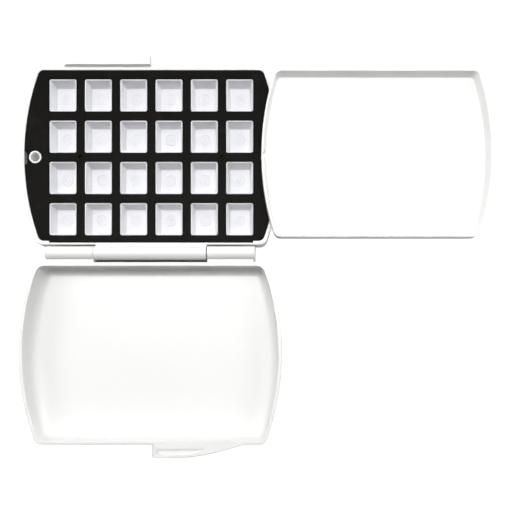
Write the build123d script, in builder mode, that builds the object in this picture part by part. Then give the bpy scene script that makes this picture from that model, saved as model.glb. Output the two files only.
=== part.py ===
from build123d import *
import os
from math import sqrt

# Watercolour box, lying open: the base with its pans, the lid hinged on at -Y and the mixing tray
# swung out at +X. The origin is the centre of the base's underside, +Z up, all sizes in mm.

# Case: two shells with straight long sides and bulged short ones
case_width = 156.6
base_depth = 106.8
base_height = 13.0
lid_height = 16.0
lid_lip = 1.5
side_radius = 150.0
corner_radius = 4.6
wall = 2.4
floor_thickness = 1.6
shoulder_radius = 1.0
rim_edge_radius = 0.35
base_foot_radius = 3.0
lid_foot_radius = 4.0
base_inner_corner = 3.6
lid_inner_corner = 5.6
lid_cove_radius = 4.8

# Hinge: a three-knuckle barrel on a steel pin
barrel_radius = 4.1
barrel_gap = 1.2
barrel_inset = 16.3
middle_knuckle_length = 66.2
left_knuckle_gap = 0.3
right_knuckle_gap = 0.7
knuckle_round = 0.9
pin_radius = 1.25
pin_fixed_clearance = 0.02
pin_running_clearance = 0.06
pin_end_wall = 1.8
pin_recess = 1.0
pin_chamfer = 0.25

# Thumb tabs at the front edges: the base's on the left half, the lid's on the right half
tab_length = 57.4
tab_crest = 22.5
tab_reach = 8.2
tab_crest_share = 0.94
tab_bend_share = 0.54
tab_middle_gap = 0.5
tab_thickness = 4.6
tab_tip_radius = 1.6
tab_edge_radius = 0.7
slot_width = 1.9
slot_bite = 0.8
slot_root = 50.6
pocket_start = 3.2
pocket_length = 28.4
pocket_inset = 2.6
pocket_width = 3.4
pocket_flat = 16.4
pocket_depth = 1.8
pocket_corner = 0.9
lid_tab_end_round = 2.4

# Pan rack: a black grid plate on a skirt
pan_columns = 6
pan_rows = 4
pan_margin_x = 14.85
pan_margin_y = 4.0
grid_shift = -0.95
window_width = 16.5
window_depth = 19.6
window_corner = 1.3
rack_drop = 0.2
rack_plate = 5.0
rack_skirt = 1.4
rack_clearance = 0.15
rack_edge_radius = 0.4
tongue_inset = 17.3
tongue_reach = 1.2
dimple_radius = 1.4
dimple_depth = 1.4

# Half pans
pan_clearance = 0.15
pan_drop = 0.35
pan_wall = 1.0
pan_floor = 1.4
pan_outer_taper = 4.0
pan_inner_taper = 6.5
pan_corner = 1.1
pan_inner_corner = 0.9
mark_radius = 2.7
mark_width = 0.45
mark_height = 0.22
mark_shift = (1.1, -1.0)

# Tray sockets: one boss at each short side of the base
socket_inset = 9.0
socket_wall = 1.0
socket_depth = 9.0
socket_lead = 0.3
boss_clearance = 0.4
notch_width = 8.4
notch_web = 0.7

# Mixing tray and the stud that it turns on
tray_length = 135.4
tray_depth = 98.2
tray_height = 6.9
tray_floor = 1.5
tray_rim = 1.2
tray_draft = 1.4
tray_side_radius = 152.0
tray_corner_radius = 4.6
tray_edge_overhang = 3.5
tray_edge_radius = 0.5
tray_floor_radius = 1.0
tray_rim_radius = 0.25
tray_lift_gap = 0.3
stud_radius = 2.52
stud_clearance = 0.08
stud_flange_radius = 3.3
stud_end_gap = 0.5
stud_tip_chamfer = 0.5
neck_radius = 1.5
neck_clearance = 0.06
head_radius = 2.5

lid_depth = base_depth + lid_lip
hinge_offset = barrel_gap + barrel_radius
hinge_y = -base_depth / 2 - hinge_offset
hinge_z = (base_height + lid_height) / 2
lid_back_y = hinge_y - hinge_offset
lid_y = lid_back_y - lid_depth / 2
lid_front_y = lid_back_y - lid_depth
barrel_length = case_width - 2 * barrel_inset
cavity_width = case_width - 2 * wall
cavity_radius = side_radius - wall
middle_left = -middle_knuckle_length / 2
middle_right = middle_knuckle_length / 2
pan_pitch_x = (case_width - 2 * pan_margin_x) / pan_columns
pan_pitch_y = (base_depth - 2 * pan_margin_y) / pan_rows
tongue_half_width = case_width / 2 - tongue_inset
rack_top = base_height - rack_drop
pan_top = rack_top - pan_drop
pan_height = pan_top - floor_thickness
pan_width = window_width - 2 * pan_clearance
pan_depth = window_depth - 2 * pan_clearance
socket_bore = stud_radius + stud_clearance
boss_radius = socket_bore + socket_wall
socket_x = case_width / 2 - socket_inset
socket_places = [(-socket_x, grid_shift), (socket_x, grid_shift)]
tray_x = socket_x - tray_edge_overhang + tray_length / 2
tray_bottom = base_height + tray_lift_gap
hinge_axis = Axis((0, hinge_y, hinge_z), (1, 0, 0))


def bulged(width, depth, radius, corner):
    # A rectangle about the origin whose two short sides swell out in arcs
    half_width, half_depth = width / 2, depth / 2
    corner_x = half_width - radius + sqrt(radius**2 - half_depth**2)
    with BuildSketch() as shape:
        with BuildLine():
            Line((-corner_x, -half_depth), (corner_x, -half_depth))
            ThreePointArc((corner_x, -half_depth), (half_width, 0), (corner_x, half_depth))
            Line((corner_x, half_depth), (-corner_x, half_depth))
            ThreePointArc((-corner_x, half_depth), (-half_width, 0), (-corner_x, -half_depth))
        make_face()
        fillet(shape.vertices(), corner)
    return shape.sketch


def thumb_tab():
    # The base's tab, seen with the shell's front edge on the X axis and its middle at X = 0
    tip_x, root_x = -tab_middle_gap, -tab_middle_gap - tab_length
    crest_x, bend_x = tip_x - tab_crest, tip_x - (tab_crest + tab_length) / 2
    with BuildSketch() as shape:
        with BuildLine():
            Polyline((root_x, -shoulder_radius), (root_x, -wall / 2), (tip_x, -wall / 2), (tip_x, tab_reach))
            Line((tip_x, tab_reach), (crest_x, tab_reach * tab_crest_share))
            ThreePointArc(
                (crest_x, tab_reach * tab_crest_share),
                (bend_x, tab_reach * tab_bend_share),
                (root_x, -shoulder_radius),
            )
        make_face()
        fillet(shape.vertices().sort_by_distance((tip_x, tab_reach))[0], tab_tip_radius)
    return shape.sketch


def knuckle(start_x, end_x, start_round=0.0, end_round=0.0):
    # Half the section of one length of the hinge barrel, to be turned about the hinge axis
    hinge_plane = Plane(origin=(0, hinge_y, hinge_z), x_dir=(1, 0, 0), z_dir=(0, -1, 0))
    with BuildSketch(hinge_plane) as section:
        with BuildLine():
            Polyline((start_x, 0), (end_x, 0), (end_x, barrel_radius), (start_x, barrel_radius), close=True)
        make_face()
        for x, rounding in ((start_x, start_round), (end_x, end_round)):
            if rounding:
                fillet(section.vertices().sort_by_distance((x, barrel_radius))[0], rounding)
    return section.sketch


def knuckle_web(start_x, wall_y, top_z):
    # The section of the web that joins a knuckle to the back wall of its own shell
    barrel_bottom = hinge_z - barrel_radius
    with BuildSketch(Plane.YZ.offset(start_x)) as section:
        with Locations(((wall_y + hinge_y) / 2, (barrel_bottom + top_z) / 2)):
            Rectangle(abs(wall_y - hinge_y), top_z - barrel_bottom)
    return section.sketch


def inner_rim(shell, height, front_y, back_y):
    # The top edges of a shell's cavity, all of them inside its flat rim
    half_width, inset = case_width / 2 - wall / 2, wall / 2
    edges = shell.edges().filter_by_position(Axis.Z, height - 0.01, height + 0.01)
    edges = edges.filter_by_position(Axis.X, -half_width, half_width)
    return edges.filter_by_position(Axis.Y, front_y + inset, back_y - inset)


# Thumb tabs, each rounded along its free edge before it joins its shell
with BuildPart() as base_tab:
    with BuildSketch(Plane.XY.offset(base_height - tab_thickness)):
        with Locations((0, base_depth / 2)):
            add(thumb_tab())
    extrude(amount=tab_thickness)
    tab_rim = base_tab.faces().sort_by(Axis.Z)[-1].edges()
    free_edges = tab_rim.filter_by_position(Axis.Y, base_depth / 2 + tab_edge_radius, base_depth / 2 + tab_reach)
    fillet(free_edges, tab_edge_radius)

with BuildPart() as lid_tab:
    with BuildSketch(Plane.XY.offset(lid_height - tab_thickness)):
        with Locations(Location((0, lid_front_y), 180)):
            add(thumb_tab())
    extrude(amount=tab_thickness)
    tab_rim = lid_tab.faces().sort_by(Axis.Z)[-1].edges()
    free_edges = tab_rim.filter_by_position(Axis.Y, lid_front_y - tab_reach, lid_front_y - tab_edge_radius)
    fillet(free_edges, tab_edge_radius)
    with BuildSketch(Plane.XZ.offset(-lid_front_y + 2 * tab_reach)) as end_profile:
        with Locations((tab_middle_gap, lid_height - tab_thickness)):
            Rectangle(2 * tab_length, tab_thickness, align=(Align.MIN, Align.MIN))
        fillet(end_profile.vertices().sort_by_distance((tab_middle_gap, lid_height))[0], lid_tab_end_round)
    extrude(amount=-4 * tab_reach, mode=Mode.INTERSECT)

# Base: an open shell with two tray sockets, the middle knuckle and a thumb tab
with BuildPart() as base_shell:
    with BuildSketch():
        add(bulged(case_width, base_depth, side_radius, corner_radius))
    extrude(amount=base_height)
    fillet(base_shell.faces().sort_by(Axis.Z)[0].edges(), base_foot_radius)
    fillet(base_shell.faces().sort_by(Axis.Z)[-1].edges(), shoulder_radius)
    add(base_tab.part)
    revolve(knuckle(middle_left, middle_right), axis=hinge_axis)
    extrude(knuckle_web(middle_left, -base_depth / 2 + wall / 2, base_height), amount=middle_knuckle_length)
    with BuildSketch(Plane.XY.offset(floor_thickness)):
        add(bulged(cavity_width, base_depth - 2 * wall, cavity_radius, base_inner_corner))
        with Locations((0, -(base_depth / 2 - wall) - tongue_reach / 2)):
            Rectangle(2 * tongue_half_width, tongue_reach)
    extrude(amount=base_height, mode=Mode.SUBTRACT)
    fillet(inner_rim(base_shell, base_height, -base_depth / 2, base_depth / 2), rim_edge_radius)
    with BuildSketch(Plane.XY.offset(base_height)):
        slot_y = base_depth / 2 - slot_bite + slot_width / 2
        slot_end = -tab_middle_gap - slot_root
        with Locations((slot_end / 2, slot_y)):
            Rectangle(-slot_end, slot_width)
        with Locations((slot_end, slot_y)):
            Circle(slot_width / 2)
    extrude(amount=-tab_thickness, mode=Mode.SUBTRACT)
    with BuildSketch(Plane.XY.offset(floor_thickness)):
        with Locations(*socket_places):
            Circle(boss_radius)
    extrude(amount=base_height - floor_thickness)
    with Locations(*[(x, y, base_height) for x, y in socket_places]):
        CounterSinkHole(socket_bore, socket_bore + socket_lead, socket_depth, counter_sink_angle=90)
    with BuildSketch(Plane.YZ.offset(middle_left)):
        with Locations((hinge_y, hinge_z)):
            Circle(pin_radius + pin_running_clearance)
    extrude(amount=middle_knuckle_length, mode=Mode.SUBTRACT)
base_shell.part.label = "base_shell"

# Lid: a deeper shell that lies open beside the base, with the outer knuckles and its own thumb tab
with BuildPart() as lid_shell:
    with BuildSketch():
        with Locations((0, lid_y)):
            add(bulged(case_width, lid_depth, side_radius, corner_radius))
    extrude(amount=lid_height)
    fillet(lid_shell.faces().sort_by(Axis.Z)[0].edges(), lid_foot_radius)
    fillet(lid_shell.faces().sort_by(Axis.Z)[-1].edges(), shoulder_radius)
    add(lid_tab.part)
    barrel_left, barrel_right = -barrel_length / 2, barrel_length / 2
    left_end, right_start = middle_left - left_knuckle_gap, middle_right + right_knuckle_gap
    revolve(knuckle(barrel_left, left_end, start_round=knuckle_round), axis=hinge_axis)
    revolve(knuckle(right_start, barrel_right, end_round=knuckle_round), axis=hinge_axis)
    web_left, web_right = barrel_left + knuckle_round, barrel_right - knuckle_round
    for start_x, end_x in ((web_left, left_end), (right_start, web_right)):
        extrude(knuckle_web(start_x, lid_back_y - wall / 2, lid_height), amount=end_x - start_x)
    with BuildSketch(Plane.XY.offset(floor_thickness)):
        with Locations((0, lid_y)):
            add(bulged(cavity_width, lid_depth - 2 * wall, cavity_radius, lid_inner_corner))
    extrude(amount=lid_height, mode=Mode.SUBTRACT)
    fillet(inner_rim(lid_shell, lid_height, lid_front_y, lid_back_y), rim_edge_radius)
    cavity_floor = lid_shell.faces().filter_by(Axis.Z).filter_by_position(
        Axis.Z, floor_thickness - 0.01, floor_thickness + 0.01
    )
    fillet(cavity_floor.edges(), lid_cove_radius)
    with BuildSketch(Plane.XY.offset(lid_height)) as pocket:
        pocket_left = tab_middle_gap + pocket_start
        pocket_right = pocket_left + pocket_length
        pocket_back = lid_front_y - pocket_inset
        pocket_front = pocket_back - pocket_width
        flat_end = pocket_left + pocket_flat
        with BuildLine():
            Line((pocket_right, pocket_back), (pocket_left, pocket_back))
            Line((pocket_left, pocket_back), (pocket_left, pocket_front))
            Line((pocket_left, pocket_front), (flat_end, pocket_front))
            TangentArc((flat_end, pocket_front), (pocket_right, pocket_back), tangent=(1, 0))
        make_face()
        fillet(pocket.vertices().group_by(Axis.X)[0], pocket_corner)
    extrude(amount=-pocket_depth, mode=Mode.SUBTRACT)
    with BuildSketch(Plane.YZ.offset(barrel_left + pin_end_wall)):
        with Locations((hinge_y, hinge_z)):
            Circle(pin_radius + pin_fixed_clearance)
    extrude(amount=barrel_length, mode=Mode.SUBTRACT)
lid_shell.part.label = "lid_shell"

# Hinge pin: pushed in from the right-hand end and stopped by the closed left-hand knuckle
with BuildPart() as hinge_pin:
    with BuildSketch(Plane.YZ.offset(barrel_left + pin_end_wall)):
        with Locations((hinge_y, hinge_z)):
            Circle(pin_radius)
    extrude(amount=barrel_length - pin_end_wall - pin_recess)
    chamfer(hinge_pin.edges(), pin_chamfer)
hinge_pin.part.label = "hinge_pin"

# Pan rack: a grid plate with a skirt that stands on the base's floor
with BuildPart() as pan_rack:
    rack_width = cavity_width - 2 * rack_clearance
    rack_depth = base_depth - 2 * wall - 2 * rack_clearance
    rack_radius = cavity_radius - rack_clearance
    rack_corner = base_inner_corner - rack_clearance
    tongue_width = 2 * (tongue_half_width - rack_clearance)
    with BuildSketch(Plane.XY.offset(floor_thickness)):
        add(bulged(rack_width, rack_depth, rack_radius, rack_corner))
        with Locations((0, -rack_depth / 2 - tongue_reach / 2)):
            Rectangle(tongue_width, tongue_reach)
    extrude(amount=rack_top - floor_thickness)
    fillet(pan_rack.faces().sort_by(Axis.Z)[-1].edges(), rack_edge_radius)
    with BuildSketch(Plane.XY.offset(floor_thickness)):
        inner_width, inner_depth = rack_width - 2 * rack_skirt, rack_depth - 2 * rack_skirt
        add(bulged(inner_width, inner_depth, rack_radius - rack_skirt, rack_corner - rack_skirt))
    extrude(amount=rack_top - rack_plate - floor_thickness, mode=Mode.SUBTRACT)
    with BuildSketch(Plane.XY.offset(rack_top)):
        with Locations((0, grid_shift)):
            with GridLocations(pan_pitch_x, pan_pitch_y, pan_columns, pan_rows):
                RectangleRounded(window_width, window_depth, window_corner)
        with Locations(*socket_places):
            Circle(boss_radius + boss_clearance)
        notch_inner = socket_x + boss_radius + boss_clearance + notch_web
        with Locations(*[(side * (notch_inner + wall * 2), grid_shift) for side in (-1, 1)]):
            Rectangle(4 * wall, notch_width)
    extrude(amount=floor_thickness - rack_top, mode=Mode.SUBTRACT)
    dimple_x = pan_pitch_x * (pan_columns / 2 - 1)
    with Locations((-dimple_x, grid_shift, rack_top), (dimple_x, grid_shift, rack_top)):
        Hole(dimple_radius, dimple_depth)
pan_rack.part.label = "pan_rack"

# Half pans: tapered cups that drop into the rack's windows and stand on the base's floor
with BuildPart() as half_pan:
    with BuildSketch(Plane.XY.offset(pan_top)):
        RectangleRounded(pan_width, pan_depth, pan_corner)
    extrude(amount=pan_height, dir=(0, 0, -1), taper=pan_outer_taper)
    with BuildSketch(Plane.XY.offset(pan_top)):
        RectangleRounded(pan_width - 2 * pan_wall, pan_depth - 2 * pan_wall, pan_inner_corner)
    extrude(amount=pan_height - pan_floor, dir=(0, 0, -1), taper=pan_inner_taper, mode=Mode.SUBTRACT)
    with BuildSketch(Plane.XY.offset(floor_thickness + pan_floor)):
        with Locations(mark_shift):
            Circle(mark_radius)
            Circle(mark_radius - mark_width, mode=Mode.SUBTRACT)
    extrude(amount=mark_height)

pans = []
for row in range(pan_rows):
    for column in range(pan_columns):
        pan_x = (column - (pan_columns - 1) / 2) * pan_pitch_x
        pan_y = grid_shift + ((pan_rows - 1) / 2 - row) * pan_pitch_y
        pan = half_pan.part.moved(Location((pan_x, pan_y, 0)))
        pan.label = f"half_pan_r{row + 1}c{column + 1}"
        pans.append(pan)

# Mixing tray: a shallow dish with drafted inner walls, carried above the base's right-hand end
with BuildPart() as mixing_tray:
    with BuildSketch(Plane.XY.offset(tray_bottom)):
        with Locations((tray_x, grid_shift)):
            add(bulged(tray_length, tray_depth, tray_side_radius, tray_corner_radius))
    extrude(amount=tray_height)
    fillet(mixing_tray.faces().sort_by(Axis.Z)[-1].edges(), tray_edge_radius)
    fillet(mixing_tray.faces().sort_by(Axis.Z)[0].edges(), tray_edge_radius)
    for height, inset in ((tray_floor, tray_rim + tray_draft), (tray_height, tray_rim)):
        inner_length, inner_depth = tray_length - 2 * inset, tray_depth - 2 * inset
        with BuildSketch(Plane.XY.offset(tray_bottom + height)):
            with Locations((tray_x, grid_shift)):
                add(bulged(inner_length, inner_depth, tray_side_radius - inset, tray_corner_radius - inset))
    loft(mode=Mode.SUBTRACT)
    dish_middle = (tray_x, grid_shift, tray_bottom + tray_floor)
    dish_floor = mixing_tray.faces().filter_by(Axis.Z).sort_by_distance(dish_middle)[0]
    fillet(dish_floor.edges(), tray_floor_radius)
    rim_top = mixing_tray.faces().sort_by(Axis.Z)[-1]
    fillet(rim_top.inner_wires().edges(), tray_rim_radius)
    with Locations((socket_x, grid_shift, tray_bottom + tray_floor)):
        CounterSinkHole(neck_radius + neck_clearance, head_radius + neck_clearance, counter_sink_angle=90)
mixing_tray.part.label = "mixing_tray"

# Tray stud: its shank turns and lifts in the base's socket, its neck and sunk head hold the tray
with BuildPart() as tray_stud:
    head_top = tray_bottom + tray_floor
    shank_end = base_height - socket_depth + stud_end_gap
    with BuildSketch(Plane(origin=(socket_x, grid_shift, 0), x_dir=(1, 0, 0), z_dir=(0, -1, 0))):
        with BuildLine():
            Polyline(
                (0, shank_end),
                (stud_radius - stud_tip_chamfer, shank_end),
                (stud_radius, shank_end + stud_tip_chamfer),
                (stud_radius, base_height),
                (stud_flange_radius, base_height),
                (stud_flange_radius, tray_bottom),
                (neck_radius, tray_bottom),
                (neck_radius, head_top - head_radius + neck_radius),
                (head_radius, head_top),
                (0, head_top),
                close=True,
            )
        make_face()
    revolve(axis=Axis((socket_x, grid_shift, 0), (0, 0, 1)))
tray_stud.part.label = "tray_stud"

os.makedirs("parts", exist_ok=True)
export_step(base_shell.part, "parts/base_shell.step")
export_step(lid_shell.part, "parts/lid_shell.step")
export_step(hinge_pin.part, "parts/hinge_pin.step")
export_step(pan_rack.part, "parts/pan_rack.step")
export_step(mixing_tray.part, "parts/mixing_tray.step")
export_step(tray_stud.part, "parts/tray_stud.step")
for pan in pans:
    export_step(pan, f"parts/{pan.label}.step")
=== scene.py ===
# Watercolour box lying open on a pale table: finishes, fine edges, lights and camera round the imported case
from math import radians, tan
import bmesh
import bpy
from mathutils import Matrix, Vector


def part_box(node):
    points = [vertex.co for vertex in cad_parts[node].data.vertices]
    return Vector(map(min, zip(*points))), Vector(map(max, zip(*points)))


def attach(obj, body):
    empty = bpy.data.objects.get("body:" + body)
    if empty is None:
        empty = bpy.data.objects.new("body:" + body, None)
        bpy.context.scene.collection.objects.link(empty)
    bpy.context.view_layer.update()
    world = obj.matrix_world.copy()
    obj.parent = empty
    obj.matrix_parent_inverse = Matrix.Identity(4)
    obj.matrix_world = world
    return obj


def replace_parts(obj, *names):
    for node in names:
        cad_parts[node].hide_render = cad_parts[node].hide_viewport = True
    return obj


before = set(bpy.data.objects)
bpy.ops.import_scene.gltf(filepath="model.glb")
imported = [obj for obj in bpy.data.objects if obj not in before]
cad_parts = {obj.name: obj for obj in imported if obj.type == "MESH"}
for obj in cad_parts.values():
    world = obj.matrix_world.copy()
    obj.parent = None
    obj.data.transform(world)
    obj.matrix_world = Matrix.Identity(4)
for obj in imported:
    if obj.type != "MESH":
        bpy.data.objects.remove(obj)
bpy.context.view_layer.update()
mm = 0.001
print("frame loaded,", len(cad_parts), "nodes")

# The photo looks straight down from about a third of a metre, with the lens shifted to frame the case
photoCamera = {
    "picture": 512,                        # pixels a side
    "slopePixels": 519,                    # pixels for a sideways slope of 1
    "height": 323 * mm,
    "footPoint": (59.08 * mm, -107.9 * mm),   # the table point straight under the lens
    "footPixel": (250, 336),               # where that point falls in the picture
    "sensor": 36,                          # on Blender's own scale
    "nearest": 10 * mm,
}


def aimCamera(settings):
    camera = bpy.data.objects.new("photoCamera", bpy.data.cameras.new("photoCamera"))
    bpy.context.scene.collection.objects.link(camera)
    camera.location = (*settings["footPoint"], settings["height"])
    lens = camera.data
    picture = settings["picture"]
    lens.sensor_width = settings["sensor"]
    lens.lens = settings["sensor"] * settings["slopePixels"] / picture
    lens.shift_x = (picture / 2 - settings["footPixel"][0]) / picture
    lens.shift_y = (settings["footPixel"][1] - picture / 2) / picture
    lens.clip_start = settings["nearest"]
    bpy.context.scene.camera = camera


aimCamera(photoCamera)
print("camera set")


class Amount:
    # A socket's value, so that shader maths reads as a plain sum
    def __init__(self, socket):
        self.socket = socket

    def joined(self, operation, first, second):
        node = self.socket.id_data.nodes.new("ShaderNodeMath")
        node.operation = operation
        for place, value in enumerate((first, second)):
            if isinstance(value, Amount):
                node.id_data.links.new(value.socket, node.inputs[place])
            else:
                node.inputs[place].default_value = value
        return Amount(node.outputs[0])

    def __add__(self, other):
        return self.joined("ADD", self, other)

    def __radd__(self, other):
        return self.joined("ADD", other, self)

    def __sub__(self, other):
        return self.joined("SUBTRACT", self, other)

    def __rsub__(self, other):
        return self.joined("SUBTRACT", other, self)

    def __mul__(self, other):
        return self.joined("MULTIPLY", self, other)

    def __rmul__(self, other):
        return self.joined("MULTIPLY", other, self)


class Finish:
    # A material round one Principled shader, whose constant sockets are set at once
    def __init__(self, name, constants):
        self.material = bpy.data.materials.new(name)
        self.material.use_nodes = True
        self.tree = self.material.node_tree
        self.shader = self.tree.nodes["Principled BSDF"]
        for socket, value in constants.items():
            self.shader.inputs[socket].default_value = value
        self.place = self.node("ShaderNodeTexCoord", out="Object")

    def node(self, kind, settings=None, sockets=None, out=0):
        node = self.tree.nodes.new(kind)
        for name, value in (settings or {}).items():
            setattr(node, name, value)
        for name, value in (sockets or {}).items():
            self.feed(node.inputs[name], value)
        return Amount(node.outputs[out])

    def feed(self, socket, value):
        if isinstance(value, Amount):
            self.tree.links.new(value.socket, socket)
        else:
            socket.default_value = value

    def surface(self, **sockets):
        # Feeds the shader's changing sockets, with an underscore for each space in a name
        for name, value in sockets.items():
            self.feed(self.shader.inputs[name.replace("_", " ")], value)

    def axis(self, name):
        # One coordinate of the surface point, in metres
        return self.node("ShaderNodeSeparateXYZ", None, {"Vector": self.place}, out=name)

    def noise(self, size, detail=2.0, roughness=0.5, seed=0.0):
        # Soft noise whose blots are about size metres across, from 0 to 1
        return self.node("ShaderNodeTexNoise", {"noise_dimensions": "4D"}, {
            "Vector": self.place, "Scale": 1 / size, "Detail": detail, "Roughness": roughness, "W": seed})

    def streaks(self, length, width, detail, turn=0.0):
        # Noise drawn out into lines along X, which turn swings about Z
        along = self.node("ShaderNodeMapping", None, {
            "Vector": self.place, "Rotation": (0, 0, turn), "Scale": (1 / length, 1 / width, 1 / width)})
        return self.node("ShaderNodeTexNoise", None, {"Vector": along, "Scale": 1.0, "Detail": detail})

    def step(self, value, low, high):
        # 0 below low, 1 above high, smooth between
        sockets = {"Value": value, "From Min": low, "From Max": high}
        return self.node("ShaderNodeMapRange", {"interpolation_type": "SMOOTHSTEP"}, sockets)

    def tint(self, share, first, second):
        # A colour between two
        node = self.tree.nodes.new("ShaderNodeMix")
        node.data_type = "RGBA"
        for name, value in (("Factor_Float", share), ("A_Color", first), ("B_Color", second)):
            socket = next(s for s in node.inputs if s.identifier == name)
            self.feed(socket, value)
        return Amount(next(s for s in node.outputs if s.identifier == "Result_Color"))

    def bump(self, height, distance, below=None):
        sockets = {"Height": height, "Distance": distance, "Strength": 1.0}
        if below:
            sockets["Normal"] = below
        return self.node("ShaderNodeBump", None, sockets)


# Glossy white case plastic: moulded waves, a fine grain, hair scratches and a little painted shade at its
# feet, where it meets the table
casePlastic = {
    "constants": {"IOR": 1.5, "Specular IOR Level": 0.5},
    "seed": 0,
    "clean": (0.80, 0.80, 0.795, 1),
    "deep": (0.785, 0.785, 0.777, 1),
    "blotSize": 48 * mm, "blotShare": 0.8,     # how far the blots go from clean to deep
    "gloss": 0.26,                             # Blender's roughness, as every gloss and satin below
    "smudgeSize": 30 * mm, "smudge": 0.05,     # what the smudges add to it
    "waveSize": 3.2 * mm, "waveDepth": 0.012 * mm,
    "grainSize": 0.35 * mm, "grainDepth": 0.002 * mm,
    "scratchWidth": 0.5 * mm, "scratchLength": 26 * mm, "scratchTurn": 0.4,   # radians
    "scratchFrom": 0.705, "scratchTo": 0.76,   # the heights of the noise that show as lines
    "scratchShade": 0.07, "scratchDulling": 0.12,
    # The grey used for the scratches and for the painted shade at the foot
    "scratchAndFootShade": (0.60, 0.59, 0.57, 1),
    "footShadeHeight": 1.6 * mm, "footShadeSize": 6 * mm, "footShadeShare": 0.5,
}


def whitePlastic(name, s):
    finish = Finish(name, s["constants"])
    seed = s["seed"]
    blots = finish.noise(s["blotSize"], 3, seed=seed)
    film = finish.noise(s["smudgeSize"], 2, seed=seed + 3)
    lines = finish.streaks(s["scratchLength"], s["scratchWidth"], 1, s["scratchTurn"])
    scratches = finish.step(lines, s["scratchFrom"], s["scratchTo"])
    # Painted shade: a blotchy grey band along the foot, where the case stands on the table
    foot = 1 - finish.step(finish.axis("Z"), 0, s["footShadeHeight"])
    scratchAndFootShade = foot * finish.noise(s["footShadeSize"], 3, 0.6, seed=seed + 5)
    colour = finish.tint(blots * s["blotShare"], s["clean"], s["deep"])
    waves = finish.bump(finish.noise(s["waveSize"], 1, seed=seed + 7), s["waveDepth"])
    finish.surface(
        Base_Color=finish.tint(scratchAndFootShade * s["footShadeShare"] + scratches * s["scratchShade"], colour, s["scratchAndFootShade"]),
        Roughness=s["gloss"] + film * s["smudge"] + scratches * s["scratchDulling"],
        Normal=finish.bump(finish.noise(s["grainSize"], 2, seed=seed + 9), s["grainDepth"], waves))
    return finish.material


caseWhite = whitePlastic("caseWhite", casePlastic)

# The mixing tray is the same plastic, cleaner and a shade whiter
trayPlastic = dict(casePlastic, seed=20, clean=(0.86, 0.86, 0.86, 1), deep=(0.835, 0.835, 0.83, 1), gloss=0.3,
                   scratchFrom=0.69, scratchTurn=-0.7)
trayWhite = whitePlastic("trayWhite", trayPlastic)

# Cool white pans with a satin skin and clouds of paint haze
panPlastic = {
    "constants": {"IOR": 1.55, "Specular IOR Level": 0.4},
    "clean": (0.775, 0.777, 0.80, 1),
    "haze": (0.735, 0.737, 0.775, 1),
    "hazeSize": 7 * mm, "hazeFrom": 0.4, "hazeTo": 0.75,
    "gloss": 0.34,
    "smudgeSize": 3 * mm, "smudge": 0.14,
    "grainSize": 0.5 * mm, "grainDepth": 0.004 * mm,
}


def panWhiteFinish(s):
    finish = Finish("panWhite", s["constants"])
    haze = finish.step(finish.noise(s["hazeSize"], 4, 0.6), s["hazeFrom"], s["hazeTo"])
    finish.surface(
        Base_Color=finish.tint(haze, s["clean"], s["haze"]),
        Roughness=s["gloss"] + finish.noise(s["smudgeSize"]) * s["smudge"],
        Normal=finish.bump(finish.noise(s["grainSize"], 3), s["grainDepth"]))
    return finish.material


panWhite = panWhiteFinish(panPlastic)

# Black rack: spark-eroded satin, faintly brown, with a few pale rub marks and specks of lint
rackPlastic = {
    "constants": {"IOR": 1.45, "Specular IOR Level": 0.05},
    "black": (0.0050, 0.0047, 0.0040, 1),
    "rubbed": (0.0105, 0.0101, 0.0092, 1),
    "rubSize": 11 * mm, "rubFrom": 0.5, "rubTo": 0.74, "rubDulling": 0.1,
    "lint": (0.4, 0.39, 0.37, 1),
    "lintSize": 0.9 * mm, "lintFrom": 0.79, "lintTo": 0.83, "lintShare": 0.1,
    "satin": 0.42,
    "smudgeSize": 1.3 * mm, "smudge": 0.08,
    "grainSize": 0.42 * mm, "grainDepth": 0.012 * mm,
}


def rackBlackFinish(s):
    finish = Finish("rackBlack", s["constants"])
    rubs = finish.step(finish.noise(s["rubSize"], 5, 0.65), s["rubFrom"], s["rubTo"])
    lint = finish.step(finish.noise(s["lintSize"], 1, seed=4), s["lintFrom"], s["lintTo"])
    finish.surface(
        Base_Color=finish.tint(lint * s["lintShare"], finish.tint(rubs, s["black"], s["rubbed"]), s["lint"]),
        Roughness=s["satin"] + rubs * s["rubDulling"] + finish.noise(s["smudgeSize"]) * s["smudge"],
        Normal=finish.bump(finish.noise(s["grainSize"]), s["grainDepth"]))
    return finish.material


rackBlack = rackBlackFinish(rackPlastic)

# Drawn steel wire for the hinge pin: fine lines along it and a little dulling
pinWire = {
    "constants": {"Metallic": 1.0},
    "steel": (0.62, 0.62, 0.63, 1),
    "dull": (0.42, 0.42, 0.43, 1),
    "dullSize": 5 * mm,
    "gloss": 0.24, "lineDulling": 0.2,
    "lineLength": 9 * mm, "lineWidth": 0.12 * mm, "lineDepth": 0.003 * mm,
}


def pinSteelFinish(s):
    finish = Finish("pinSteel", s["constants"])
    lines = finish.streaks(s["lineLength"], s["lineWidth"], 2)
    finish.surface(
        Base_Color=finish.tint(finish.noise(s["dullSize"], 3), s["steel"], s["dull"]),
        Roughness=s["gloss"] + lines * s["lineDulling"],
        Normal=finish.bump(lines, s["lineDepth"]))
    return finish.material


pinSteel = pinSteelFinish(pinWire)
print("finishes made")


def makeObject(name, bm, material):
    # One smooth-shaded object with its place in its mesh
    mesh = bpy.data.meshes.new(name)
    bm.to_mesh(mesh)
    bm.free()
    mesh.materials.append(material)
    for face in mesh.polygons:
        face.use_smooth = True
    made = bpy.data.objects.new(name, mesh)
    bpy.context.scene.collection.objects.link(made)
    return made


def placePiece(name, bm, body, material):
    # A finished piece rides its body and takes the finish it is given
    piece = makeObject(name, bm, material)
    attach(piece, body)
    # Big flat faces keep flat shading and the narrow rounded strips take up the turn
    weighting = piece.modifiers.new("evenShading", "WEIGHTED_NORMAL")
    weighting.keep_sharp = True
    weighting.weight = 80
    return piece


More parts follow.
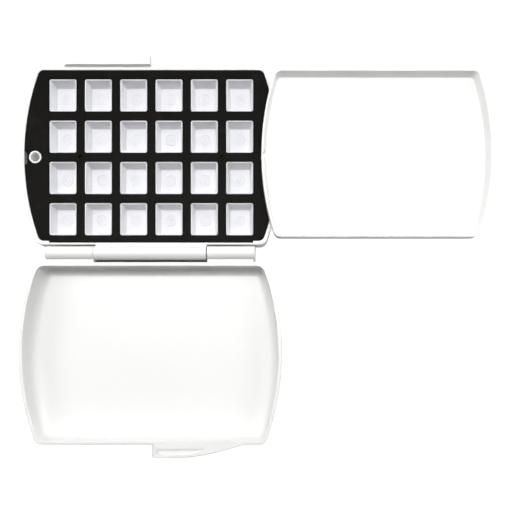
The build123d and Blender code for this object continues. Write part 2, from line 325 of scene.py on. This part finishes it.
def middleOf(node):
    low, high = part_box(node)
    return (low + high) / 2


def edgesAtHeight(bm, height, tolerance=0.001 * mm):
    return [e for e in bm.edges if all(abs(v.co.z - height) < tolerance for v in e.verts)]


def roundEdges(bm, edges, radius, segments):
    bmesh.ops.bevel(bm, geom=edges, affect="EDGES", offset=radius, segments=segments, profile=0.5,
                    material=-1, clamp_overlap=True, loop_slide=True)


def roundedFace(bm, width, depth, corner, segments):
    # A flat rectangle about the origin with rounded corners
    sheet = bmesh.ops.create_grid(bm, x_segments=1, y_segments=1, size=0.5)
    bmesh.ops.scale(bm, vec=(width, depth, 1), verts=sheet["verts"])
    bmesh.ops.bevel(bm, geom=sheet["verts"], affect="VERTICES", offset=corner, segments=segments, profile=0.5,
                    material=-1)
    bm.faces.ensure_lookup_table()
    return bm.faces[0]


def raiseFace(bm, face, rise, inwards=0, size=(1, 1)):
    # Carries a face along Z, pulling each side inwards, and leaves walls behind it
    made = bmesh.ops.extrude_discrete_faces(bm, faces=[face])["faces"][0]
    factors = [1 - 2 * inwards / across for across in size]
    bmesh.ops.translate(bm, vec=(0, 0, rise), verts=made.verts)
    bmesh.ops.scale(bm, vec=(*factors, 1), verts=made.verts)
    return made


def closeFoot(bm):
    # Fills the open loop that the first face left behind at height 0
    loop = [e for e in edgesAtHeight(bm, 0) if e.is_boundary]
    foot = bmesh.ops.contextual_create(bm, geom=loop)["faces"][0]
    bmesh.ops.recalc_face_normals(bm, faces=bm.faces)
    return foot


# One mould for all the half pans: drafted walls, a hollow foot and ring marks on the floor
panMould = {
    "wall": 0.7 * mm,
    "floor": 2.8 * mm,       # above the foot
    "hollow": 1.4 * mm,
    "hollowWall": 1.1 * mm,
    "outerDraft": 4.0,       # degrees
    "innerDraft": 8.3,       # degrees
    "corner": 1.1 * mm, "cornerSegments": 6,
    "heelRadius": 0.7 * mm, "heelSegments": 5,
    "rimRadius": 0.34 * mm, "footRadius": 0.35 * mm, "edgeSegments": 3,
    "rimTurn": 30,           # degrees, from which an edge of the rim is rounded
    "mergeGap": 0.002 * mm,
    "marks": ((3.2 * mm, 0.28 * mm), (1.4 * mm, 0.2 * mm)),   # radius and bead
    "markShift": (0, 0.9 * mm),
    "markSides": 8, "markSteps": 32,
}


def ringMark(bm, s, radius, bead):
    # A low round bead turned about the mark's middle
    centre = (*s["markShift"], s["floor"])
    profile = bmesh.ops.create_circle(bm, cap_ends=False, segments=s["markSides"], radius=bead)["verts"]
    bmesh.ops.rotate(bm, cent=(0, 0, 0), matrix=Matrix.Rotation(radians(90), 3, "X"), verts=profile)
    bmesh.ops.translate(bm, vec=(centre[0] + radius, centre[1], centre[2]), verts=profile)
    loop = list({e for v in profile for e in v.link_edges})
    bmesh.ops.spin(bm, geom=profile + loop, cent=centre, axis=(0, 0, 1), dvec=(0, 0, 0), angle=radians(360),
                   steps=s["markSteps"], use_merge=True, use_duplicate=False)


def mouldPan(s, width, depth, height):
    bm = bmesh.new()
    outerDraw = height * tan(radians(s["outerDraft"]))
    footSize = (width - 2 * outerDraw, depth - 2 * outerDraw)
    start = roundedFace(bm, *footSize, s["corner"], s["cornerSegments"])
    top = raiseFace(bm, start, height, -outerDraw, footSize)
    foot = closeFoot(bm)
    bmesh.ops.inset_region(bm, faces=[foot], thickness=s["hollowWall"], use_even_offset=True)
    raiseFace(bm, foot, s["hollow"])
    bmesh.ops.inset_region(bm, faces=[top], thickness=s["wall"], use_even_offset=True)
    sink = height - s["floor"]
    innerDraw = sink * tan(radians(s["innerDraft"]))
    raiseFace(bm, top, -sink, innerDraw, (width - 2 * s["wall"], depth - 2 * s["wall"]))
    roundEdges(bm, edgesAtHeight(bm, s["floor"]), s["heelRadius"], s["heelSegments"])
    rims = [e for e in edgesAtHeight(bm, height) if e.calc_face_angle(0) > radians(s["rimTurn"])]
    roundEdges(bm, rims, s["rimRadius"], s["edgeSegments"])
    roundEdges(bm, edgesAtHeight(bm, 0), s["footRadius"], s["edgeSegments"])
    bmesh.ops.remove_doubles(bm, verts=bm.verts, dist=s["mergeGap"])
    for radius, bead in s["marks"]:
        ringMark(bm, s, radius, bead)
    bmesh.ops.recalc_face_normals(bm, faces=bm.faces)
    return bm


panNodes = sorted(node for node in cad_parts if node.startswith("half_pan"))
for node in panNodes:
    low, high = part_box(node)
    bm = mouldPan(panMould, *(high - low))
    middle = middleOf(node)
    bmesh.ops.translate(bm, vec=(middle.x, middle.y, low.z), verts=bm.verts)
    name, body = node.replace("half_pan", "panCup"), node.replace("half_pan", "pan")
    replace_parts(placePiece(name, bm, body, panWhite), node)
print("pans moulded,", len(panNodes))

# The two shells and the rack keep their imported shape, with every hard edge broken as a mould breaks it
fineEdges = {
    "mergeGap": 0.002 * mm,
    "flatWithin": 0.6,       # degrees
    "hardFrom": 38.0,        # degrees
    "segments": 3,
    "shellWidth": 0.22 * mm,
    "rackWidth": 0.3 * mm,
}


def breakEdges(node, width, s):
    bm = bmesh.new()
    bm.from_mesh(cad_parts[node].data)
    bmesh.ops.remove_doubles(bm, verts=bm.verts, dist=s["mergeGap"])
    bmesh.ops.dissolve_limit(bm, angle_limit=radians(s["flatWithin"]), verts=bm.verts, edges=bm.edges)
    hard = [e for e in bm.edges if e.calc_face_angle(0) > radians(s["hardFrom"])]
    roundEdges(bm, hard, width, s["segments"])
    return bm


for node, name, body, width, slotName, material in (
        ("base_shell", "baseCase", "base", fineEdges["shellWidth"], "case_white", caseWhite),
        ("lid_shell", "lidCase", "lid", fineEdges["shellWidth"], "case_white", caseWhite),
        ("pan_rack", "panRack", "base", fineEdges["rackWidth"], "rack_black", rackBlack)):
    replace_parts(placePiece(name, breakEdges(node, width, fineEdges), body, material), node)
print("shells and rack edged")

# The gate mark that the mould left on the middle knuckle: a low disc square to the barrel
gateMark = {
    "x": -15.1 * mm,
    "lean": 22,              # degrees from the barrel's top towards the base
    "barrelRadius": 4.1 * mm,
    "radius": 0.65 * mm,
    "proud": 0.12 * mm,
    "sunk": 0.2 * mm,
    "edge": 0.05 * mm,
    "segments": 24, "edgeSegments": 2,
}


def mouldGate(s):
    bm = bmesh.new()
    bmesh.ops.create_cone(bm, cap_ends=True, segments=s["segments"], radius1=s["radius"], radius2=s["radius"],
                          depth=s["proud"] + s["sunk"])
    top = [e for e in bm.edges if all(v.co.z > 0 for v in e.verts)]
    roundEdges(bm, top, s["edge"], s["edgeSegments"])
    bmesh.ops.translate(bm, vec=(0, 0, s["barrelRadius"] + (s["proud"] - s["sunk"]) / 2), verts=bm.verts)
    bmesh.ops.rotate(bm, cent=(0, 0, 0), matrix=Matrix.Rotation(radians(-s["lean"]), 3, "X"), verts=bm.verts)
    pin = middleOf("hinge_pin")
    bmesh.ops.translate(bm, vec=(s["x"], pin.y, pin.z), verts=bm.verts)
    return bm


placePiece("gateMark", mouldGate(gateMark), "base", caseWhite)
print("gate mark added")

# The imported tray, its stud and the hinge pin stay as they are and only take their finish
for node, material in (("hinge_pin", pinSteel), ("tray_stud", trayWhite), ("mixing_tray", trayWhite)):
    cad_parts[node].data.materials.clear()
    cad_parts[node].data.materials.append(material)
print("pin, stud and tray finished")

# A table that glows white, so that the ground is bright and the shadows on it stay light
table = {
    "reach": 3.0,
    "drop": 0.05 * mm,
    "cells": 8,
    "constants": {"Base Color": (0.3, 0.3, 0.3, 1), "Specular IOR Level": 0.1, "Emission Strength": 1.0},
    "satin": 0.75,
    "smudgeSize": 40 * mm, "smudge": 0.1,
    "shadeReach": 7 * mm,                  # each way from the hinge pin
    "shadeSoft": 3 * mm,
}


def tablePaint(s):
    paint = Finish("tablePaint", s["constants"])
    # No glow in the shade under the hinge, where only the slits between the knuckles look down
    pin = middleOf("hinge_pin")
    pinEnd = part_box("hinge_pin")[1].x
    beside = [paint.node("ShaderNodeMath", {"operation": "ABSOLUTE"}, {0: paint.axis(name) - centre})
              for name, centre in (("X", pin.x), ("Y", pin.y))]
    inside = [1 - paint.step(distance, reach, reach + s["shadeSoft"])
              for distance, reach in zip(beside, (pinEnd - pin.x, s["shadeReach"]))]
    paint.surface(
        Roughness=s["satin"] + paint.noise(s["smudgeSize"]) * s["smudge"],
        Emission_Color=paint.tint(inside[0] * inside[1], (1, 1, 1, 1), (0, 0, 0, 1)))
    return paint.material


def layTable(s):
    bm = bmesh.new()
    bmesh.ops.create_grid(bm, x_segments=s["cells"], y_segments=s["cells"], size=s["reach"])
    bmesh.ops.translate(bm, vec=(0, 0, -s["drop"]), verts=bm.verts)
    top = makeObject("table", bm, tablePaint(s))
    # No mirror image of the glow in the case's sides, so that its outline stays darker than the ground
    top.visible_glossy = False


layTable(table)

# A pale dome behind everything, which only the camera sees
backdrop = {
    "radius": 2.9,
    "rings": 24,
    "constants": {"Base Color": (0, 0, 0, 1), "Specular IOR Level": 0.0,
                  "Emission Color": (0.93, 0.93, 0.94, 1), "Emission Strength": 1.0},
}


def hangBackdrop(s):
    bm = bmesh.new()
    bmesh.ops.create_uvsphere(bm, u_segments=2 * s["rings"], v_segments=s["rings"], radius=s["radius"])
    bmesh.ops.reverse_faces(bm, faces=bm.faces)
    dome = makeObject("backdrop", bm, Finish("backdropPaint", s["constants"]).material)
    dome.visible_diffuse = False
    dome.visible_glossy = False
    dome.visible_shadow = False


hangBackdrop(backdrop)

# Soft studio light: a long softbox overhead, two side boxes, a low one beyond the base and a dim room
studio = {
    "aim": (0.03, -0.06, 0.0),
    "boxes": {
        "topBox": {"place": (0.03, 0.16, 1.12), "size": (1.1, 0.36), "power": 10.8},
        "leftBox": {"place": (-0.82, 0.2, 0.62), "size": (0.5, 0.5), "power": 4.4},
        "rightBox": {"place": (0.9, 0.2, 0.62), "size": (0.5, 0.5), "power": 4.2},
        "backBox": {"place": (0.03, 1.1, 0.5), "size": (0.9, 0.4), "power": 4.0},
    },
    "room": (0.046, 0.043, 0.034, 1),
}


def lightStudio(s):
    for name, box in s["boxes"].items():
        light = bpy.data.lights.new(name, "AREA")
        light.shape = "RECTANGLE"
        light.size, light.size_y = box["size"]
        light.energy = box["power"]
        lamp = bpy.data.objects.new(name, light)
        bpy.context.scene.collection.objects.link(lamp)
        lamp.location = box["place"]
        towards = Vector(s["aim"]) - Vector(box["place"])
        lamp.rotation_euler = towards.to_track_quat("-Z", "Y").to_euler()
    room = bpy.data.worlds.new("room")
    bpy.context.scene.world = room
    room.use_nodes = True
    room.node_tree.nodes["Background"].inputs["Color"].default_value = s["room"]
    bpy.context.scene.view_settings.view_transform = "Standard"


lightStudio(studio)
print("stage lit")

bpy.context.view_layer.update()
